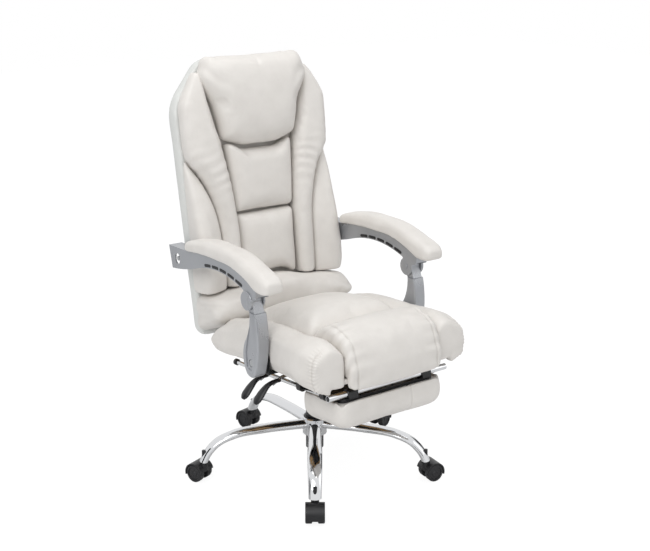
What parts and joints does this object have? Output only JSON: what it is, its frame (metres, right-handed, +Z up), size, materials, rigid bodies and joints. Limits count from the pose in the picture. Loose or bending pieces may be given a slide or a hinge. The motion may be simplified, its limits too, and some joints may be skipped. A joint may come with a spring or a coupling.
{
  "type": "reclining office chair with footrest",
  "caption": "High-back padded office chair on a star base with casters, a reclining back linked to its arms, a gas lift and a pull-out fold-over footrest.",
  "frame": {"origin": "on the floor, under the axis of the gas column", "axes": "+Z up, -Y towards the sitter's feet, +X towards the sitter's left hand"},
  "size_m": [0.7086, 0.7689, 1.1294],
  "materials": {
    "white_leatherette": "soft off-white leatherette with fine grain",
    "white_shell_leatherette": "slightly cooler off-white leatherette on the rear shell",
    "grey_plastic": "silver-grey moulded plastic, satin",
    "black_plastic": "black moulded plastic, satin",
    "chrome_steel": "bright chrome plate",
    "black_steel": "black powder-coated steel",
    "bright_steel": "zinc-plated steel",
    "plywood": "poplar plywood, unfinished",
    "wheel_nylon": "black nylon tread"
  },
  "bodies": {
    "base": {"star_base": "chrome_steel", "gas_column_tube": "black_steel", "column_guide_bush": "black_plastic"},
    "gas_rod": {"gas_piston_rod": "bright_steel"},
    "seat": {"gas_cylinder": "chrome_steel", "seat_mechanism": "black_steel", "seat_board": "plywood", "seat_middle_cushion": "white_leatherette", "seat_front_roll": "white_leatherette", "seat_bolster_left": "white_leatherette", "seat_bolster_right": "white_leatherette", "footrest_guides": "black_steel", "seat_hinge_brackets": "black_steel", "post_pivot_plates": "black_steel", "pivot_bolts": "bright_steel"},
    "back": {"back_board": "plywood", "back_rear_cover": "white_shell_leatherette", "back_hinge_leaves": "black_steel", "back_arm_brackets": "black_steel", "arm_rear_bolts": "bright_steel", "headrest_cushion": "white_leatherette", "back_upper_panel": "white_leatherette", "back_middle_panel": "white_leatherette", "lumbar_roll": "white_leatherette", "back_bolster_left": "white_leatherette", "back_bolster_right": "white_leatherette", "back_wing_left": "white_leatherette", "back_wing_right": "white_leatherette"},
    "post_left": {"arm_post_left": "grey_plastic"},
    "post_right": {"arm_post_right": "grey_plastic"},
    "arm_left": {"arm_frame_left": "grey_plastic", "arm_pad_left": "white_leatherette", "hub_cap_left": "grey_plastic"},
    "arm_right": {"arm_frame_right": "grey_plastic", "arm_pad_right": "white_leatherette", "hub_cap_right": "grey_plastic"},
    "lever_height": {"lever_height_rod": "bright_steel", "lever_height_paddle": "black_plastic"},
    "lever_recline": {"lever_recline_rod": "bright_steel", "lever_recline_paddle": "black_plastic"},
    "footrest_slide": {"footrest_slide_frame": "chrome_steel", "footrest_frame_caps": "black_plastic"},
    "footrest_flap": {"footrest_board": "black_plastic", "footrest_hinge_clips": "black_steel", "footrest_pad": "white_leatherette"},
    "caster_1": {"caster_1": "black_plastic"},
    "caster_1_wheel_outer": {"caster_1_wheel_outer": "wheel_nylon"},
    "caster_1_wheel_inner": {"caster_1_wheel_inner": "wheel_nylon"},
    "caster_2": {"caster_2": "black_plastic"},
    "caster_2_wheel_outer": {"caster_2_wheel_outer": "wheel_nylon"},
    "caster_2_wheel_inner": {"caster_2_wheel_inner": "wheel_nylon"},
    "caster_3": {"caster_3": "black_plastic"},
    "caster_3_wheel_outer": {"caster_3_wheel_outer": "wheel_nylon"},
    "caster_3_wheel_inner": {"caster_3_wheel_inner": "wheel_nylon"},
    "caster_4": {"caster_4": "black_plastic"},
    "caster_4_wheel_outer": {"caster_4_wheel_outer": "wheel_nylon"},
    "caster_4_wheel_inner": {"caster_4_wheel_inner": "wheel_nylon"},
    "caster_5": {"caster_5": "black_plastic"},
    "caster_5_wheel_outer": {"caster_5_wheel_outer": "wheel_nylon"},
    "caster_5_wheel_inner": {"caster_5_wheel_inner": "wheel_nylon"}
  },
  "joints": [
    {"name": "seat_swivel", "type": "hinge", "parent": "base", "child": "gas_rod", "pos_m": [0, 0, 0.1], "axis": [0, 0, 1], "continuous": true},
    {"name": "gas_lift", "type": "slide", "parent": "gas_rod", "child": "seat", "axis": [0, 0, 1], "range_m": [0, 0.09]},
    {"name": "back_recline", "type": "hinge", "parent": "seat", "child": "back", "pos_m": [0, 0.19, 0.39], "axis": [-1, 0, 0], "range_deg": [0, 45]},
    {"name": "arm_post_left_pivot", "type": "hinge", "parent": "seat", "child": "post_left", "pos_m": [0.26, -0.108, 0.406], "axis": [-1, 0, 0], "range_deg": [0, 53.2]},
    {"name": "arm_hub_left_pivot", "type": "hinge", "parent": "post_left", "child": "arm_left", "pos_m": [0.26, -0.1, 0.574], "axis": [-1, 0, 0], "range_deg": [-47.35, 0]},
    {"name": "arm_post_right_pivot", "type": "hinge", "parent": "seat", "child": "post_right", "pos_m": [-0.26, -0.108, 0.406], "axis": [-1, 0, 0], "range_deg": [0, 53.2]},
    {"name": "arm_hub_right_pivot", "type": "hinge", "parent": "post_right", "child": "arm_right", "pos_m": [-0.26, -0.1, 0.574], "axis": [-1, 0, 0], "range_deg": [-47.35, 0]},
    {"name": "lever_height_pull", "type": "hinge", "parent": "seat", "child": "lever_height", "pos_m": [-0.098, -0.12136, 0.35359], "axis": [0, 0.9954, -0.0958], "range_deg": [0, 6], "stiffness_Nm_per_rad": 2, "springref_deg": -11.46},
    {"name": "lever_recline_pull", "type": "hinge", "parent": "seat", "child": "lever_recline", "pos_m": [-0.098, -0.06164, 0.34784], "axis": [0, 0.9954, -0.0958], "range_deg": [0, 6], "stiffness_Nm_per_rad": 2, "springref_deg": -11.46},
    {"name": "footrest_pull", "type": "slide", "parent": "seat", "child": "footrest_slide", "axis": [0, -0.9954, 0.0958], "range_m": [0, 0.3]},
    {"name": "footrest_flip", "type": "hinge", "parent": "footrest_slide", "child": "footrest_flap", "pos_m": [0, -0.32667, 0.3603], "axis": [-1, 0, 0], "range_deg": [0, 180]},
    {"name": "caster_1_swivel", "type": "hinge", "parent": "base", "child": "caster_1", "pos_m": [-0.18665, -0.26361, 0.06], "axis": [0, 0, 1], "continuous": true},
    {"name": "caster_1_wheel_outer_roll", "type": "hinge", "parent": "caster_1", "child": "caster_1_wheel_outer", "pos_m": [-0.19705, -0.2783, 0.025], "axis": [0.8161, -0.5779, 0], "continuous": true},
    {"name": "caster_1_wheel_inner_roll", "type": "hinge", "parent": "caster_1", "child": "caster_1_wheel_inner", "pos_m": [-0.19705, -0.2783, 0.025], "axis": [0.8161, -0.5779, 0], "continuous": true},
    {"name": "caster_2_swivel", "type": "hinge", "parent": "base", "child": "caster_2", "pos_m": [0.19303, -0.25897, 0.06], "axis": [0, 0, 1], "continuous": true},
    {"name": "caster_2_wheel_outer_roll", "type": "hinge", "parent": "caster_2", "child": "caster_2_wheel_outer", "pos_m": [0.21088, -0.26126, 0.025], "axis": [0.1271, 0.9919, 0], "continuous": true},
    {"name": "caster_2_wheel_inner_roll", "type": "hinge", "parent": "caster_2", "child": "caster_2_wheel_inner", "pos_m": [0.21088, -0.26126, 0.025], "axis": [0.1271, 0.9919, 0], "continuous": true},
    {"name": "caster_3_swivel", "type": "hinge", "parent": "base", "child": "caster_3", "pos_m": [0.30595, 0.10356, 0.06], "axis": [0, 0, 1], "continuous": true},
    {"name": "caster_3_wheel_outer_roll", "type": "hinge", "parent": "caster_3", "child": "caster_3_wheel_outer", "pos_m": [0.32286, 0.10972, 0.025], "axis": [-0.342, 0.9397, 0], "continuous": true},
    {"name": "caster_3_wheel_inner_roll", "type": "hinge", "parent": "caster_3", "child": "caster_3_wheel_inner", "pos_m": [0.32286, 0.10972, 0.025], "axis": [-0.342, 0.9397, 0], "continuous": true},
    {"name": "caster_4_swivel", "type": "hinge", "parent": "base", "child": "caster_4", "pos_m": [-0.00395, 0.32298, 0.06], "axis": [0, 0, 1], "continuous": true},
    {"name": "caster_4_wheel_outer_roll", "type": "hinge", "parent": "caster_4", "child": "caster_4_wheel_outer", "pos_m": [-0.00791, 0.34054, 0.025], "axis": [-0.9755, -0.2198, 0], "continuous": true},
    {"name": "caster_4_wheel_inner_roll", "type": "hinge", "parent": "caster_4", "child": "caster_4_wheel_inner", "pos_m": [-0.00791, 0.34054, 0.025], "axis": [-0.9755, -0.2198, 0], "continuous": true},
    {"name": "caster_5_swivel", "type": "hinge", "parent": "base", "child": "caster_5", "pos_m": [-0.30839, 0.09605, 0.06], "axis": [0, 0, 1], "continuous": true},
    {"name": "caster_5_wheel_outer_roll", "type": "hinge", "parent": "caster_5", "child": "caster_5_wheel_outer", "pos_m": [-0.31446, 0.113, 0.025], "axis": [-0.9415, -0.3371, 0], "continuous": true},
    {"name": "caster_5_wheel_inner_roll", "type": "hinge", "parent": "caster_5", "child": "caster_5_wheel_inner", "pos_m": [-0.31446, 0.113, 0.025], "axis": [-0.9415, -0.3371, 0], "continuous": true}
  ],
  "couplings": [
    {"joint": "arm_post_left_pivot", "follows": "back_recline", "ratio": 1.18},
    {"joint": "arm_hub_left_pivot", "follows": "back_recline", "ratio": -1.05},
    {"joint": "arm_post_right_pivot", "follows": "back_recline", "ratio": 1.18},
    {"joint": "arm_hub_right_pivot", "follows": "back_recline", "ratio": -1.05},
    {"joint": "footrest_flip", "follows": "footrest_pull", "rad_per_m": 10.472}
  ]
}
